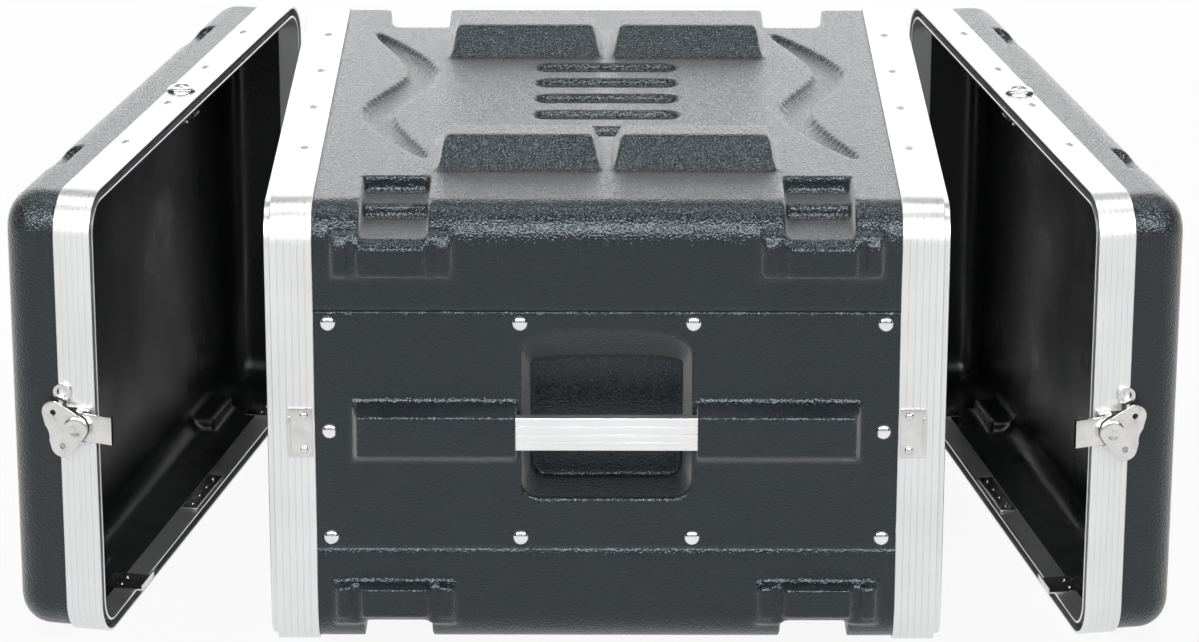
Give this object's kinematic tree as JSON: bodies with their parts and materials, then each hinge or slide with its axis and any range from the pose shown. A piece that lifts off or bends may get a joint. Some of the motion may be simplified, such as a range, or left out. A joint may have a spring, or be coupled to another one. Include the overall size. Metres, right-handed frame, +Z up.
{
  "type": "equipment rack case",
  "caption": "Moulded rack case for sound equipment: aluminium-edged body with side handles and rack rails, and lids with twist latches and key locks, standing open beside it.",
  "frame": {"origin": "centre of the flat moulded underside of the body; the valances stand 2.3 mm lower", "axes": "+X from the front lid to the rear lid, +Y across the case from the near handle to the far one, +Z up"},
  "size_m": [0.8087, 0.5776, 0.3427],
  "materials": {
    "black_moulded_plastic": "fine leather-like texture outside, smoother inside",
    "satin_aluminium": "satin with fine lines along the extrusion",
    "nickel_plate": "bright plated pressings",
    "chrome_rivet": "polished domes",
    "black_steel": "satin black powder coat"
  },
  "bodies": {
    "case": {"case_top_shell": "black_moulded_plastic", "case_bottom_shell": "black_moulded_plastic", "side_panel_near": "black_moulded_plastic", "side_panel_far": "black_moulded_plastic", "handle_bar_near": "satin_aluminium", "handle_bar_far": "satin_aluminium", "front_valance": "satin_aluminium", "rear_valance": "satin_aluminium", "rack_rail_front_near": "black_steel", "rack_rail_front_far": "black_steel", "rack_rail_rear_near": "black_steel", "rack_rail_rear_far": "black_steel", "strike_front_near": "nickel_plate", "strike_front_far": "nickel_plate", "strike_rear_near": "nickel_plate", "strike_rear_far": "nickel_plate", "rivet_near_01": "chrome_rivet", "rivet_near_02": "chrome_rivet", "rivet_near_03": "chrome_rivet", "rivet_near_04": "chrome_rivet", "rivet_near_05": "chrome_rivet", "rivet_near_06": "chrome_rivet", "rivet_near_07": "chrome_rivet", "rivet_near_08": "chrome_rivet", "rivet_near_09": "chrome_rivet", "rivet_near_10": "chrome_rivet", "rivet_far_01": "chrome_rivet", "rivet_far_02": "chrome_rivet", "rivet_far_03": "chrome_rivet", "rivet_far_04": "chrome_rivet", "rivet_far_05": "chrome_rivet", "rivet_far_06": "chrome_rivet", "rivet_far_07": "chrome_rivet", "rivet_far_08": "chrome_rivet", "rivet_far_09": "chrome_rivet", "rivet_far_10": "chrome_rivet"},
    "front_lid": {"front_lid_shell": "black_moulded_plastic", "front_lid_valance": "satin_aluminium", "front_lid_hook_near": "nickel_plate", "front_lid_hook_far": "nickel_plate", "front_latch_base_near": "nickel_plate", "front_latch_base_far": "nickel_plate", "front_lock_barrel": "nickel_plate"},
    "front_latch_wing_near": {"front_latch_wing_near": "nickel_plate"},
    "front_latch_hook_near": {"front_latch_hook_near": "nickel_plate"},
    "front_latch_wing_far": {"front_latch_wing_far": "nickel_plate"},
    "front_latch_hook_far": {"front_latch_hook_far": "nickel_plate"},
    "front_lock_plug": {"front_lock_plug": "nickel_plate"},
    "rear_lid": {"rear_lid_shell": "black_moulded_plastic", "rear_lid_valance": "satin_aluminium", "rear_lid_hook_near": "nickel_plate", "rear_lid_hook_far": "nickel_plate", "rear_latch_base_near": "nickel_plate", "rear_latch_base_far": "nickel_plate", "rear_lock_barrel": "nickel_plate"},
    "rear_latch_wing_near": {"rear_latch_wing_near": "nickel_plate"},
    "rear_latch_hook_near": {"rear_latch_hook_near": "nickel_plate"},
    "rear_latch_wing_far": {"rear_latch_wing_far": "nickel_plate"},
    "rear_latch_hook_far": {"rear_latch_hook_far": "nickel_plate"},
    "rear_lock_plug": {"rear_lock_plug": "nickel_plate"}
  },
  "joints": [
    {"name": "front_lid_swing", "type": "hinge", "parent": "case", "child": "front_lid", "pos_m": [-0.23, 0.3305, 0], "axis": [0, 0, 1], "range_deg": [0, 11.75]},
    {"name": "front_wing_turn_near", "type": "hinge", "parent": "front_lid", "child": "front_latch_wing_near", "pos_m": [-0.36681, -0.25899, 0.1607], "axis": [-0.2036, -0.979, 0], "range_deg": [0, 180]},
    {"name": "front_hook_drop_near", "type": "hinge", "parent": "front_lid", "child": "front_latch_hook_near", "pos_m": [-0.36312, -0.26333, 0.1607], "axis": [0, 0, 1], "range_deg": [0, 11]},
    {"name": "front_wing_turn_far", "type": "hinge", "parent": "front_lid", "child": "front_latch_wing_far", "pos_m": [-0.25501, 0.2785, 0.1607], "axis": [0.2036, 0.979, 0], "range_deg": [0, 180]},
    {"name": "front_hook_drop_far", "type": "hinge", "parent": "front_lid", "child": "front_latch_hook_far", "pos_m": [-0.24989, 0.28101, 0.1607], "axis": [0, 0, -1], "range_deg": [0, 11]},
    {"name": "front_lock_turn", "type": "hinge", "parent": "front_lid", "child": "front_lock_plug", "pos_m": [-0.31287, 0.01016, 0.3237], "axis": [0, 0, -1], "range_deg": [0, 90]},
    {"name": "rear_lid_swing", "type": "hinge", "parent": "case", "child": "rear_lid", "pos_m": [0.23, 0.3305, 0], "axis": [0, 0, -1], "range_deg": [0, 10.05]},
    {"name": "rear_wing_turn_near", "type": "hinge", "parent": "rear_lid", "child": "rear_latch_wing_near", "pos_m": [0.34926, -0.26279, 0.1607], "axis": [0.1745, -0.9847, 0], "range_deg": [0, 180]},
    {"name": "rear_hook_drop_near", "type": "hinge", "parent": "rear_lid", "child": "rear_latch_hook_near", "pos_m": [0.34544, -0.26702, 0.1607], "axis": [0, 0, -1], "range_deg": [0, 11]},
    {"name": "rear_wing_turn_far", "type": "hinge", "parent": "rear_lid", "child": "rear_latch_wing_far", "pos_m": [0.25346, 0.27779, 0.1607], "axis": [-0.1745, 0.9847, 0], "range_deg": [0, 180]},
    {"name": "rear_hook_drop_far", "type": "hinge", "parent": "rear_lid", "child": "rear_latch_hook_far", "pos_m": [0.24842, 0.28045, 0.1607], "axis": [0, 0, 1], "range_deg": [0, 11]},
    {"name": "rear_lock_turn", "type": "hinge", "parent": "rear_lid", "child": "rear_lock_plug", "pos_m": [0.30333, 0.00785, 0.3237], "axis": [0, 0, 1], "range_deg": [0, 90]}
  ],
  "couplings": [
    {"joint": "front_hook_drop_near", "follows": "front_wing_turn_near", "ratio": 0.061111},
    {"joint": "front_hook_drop_far", "follows": "front_wing_turn_far", "ratio": 0.061111},
    {"joint": "rear_hook_drop_near", "follows": "rear_wing_turn_near", "ratio": 0.061111},
    {"joint": "rear_hook_drop_far", "follows": "rear_wing_turn_far", "ratio": 0.061111}
  ]
}
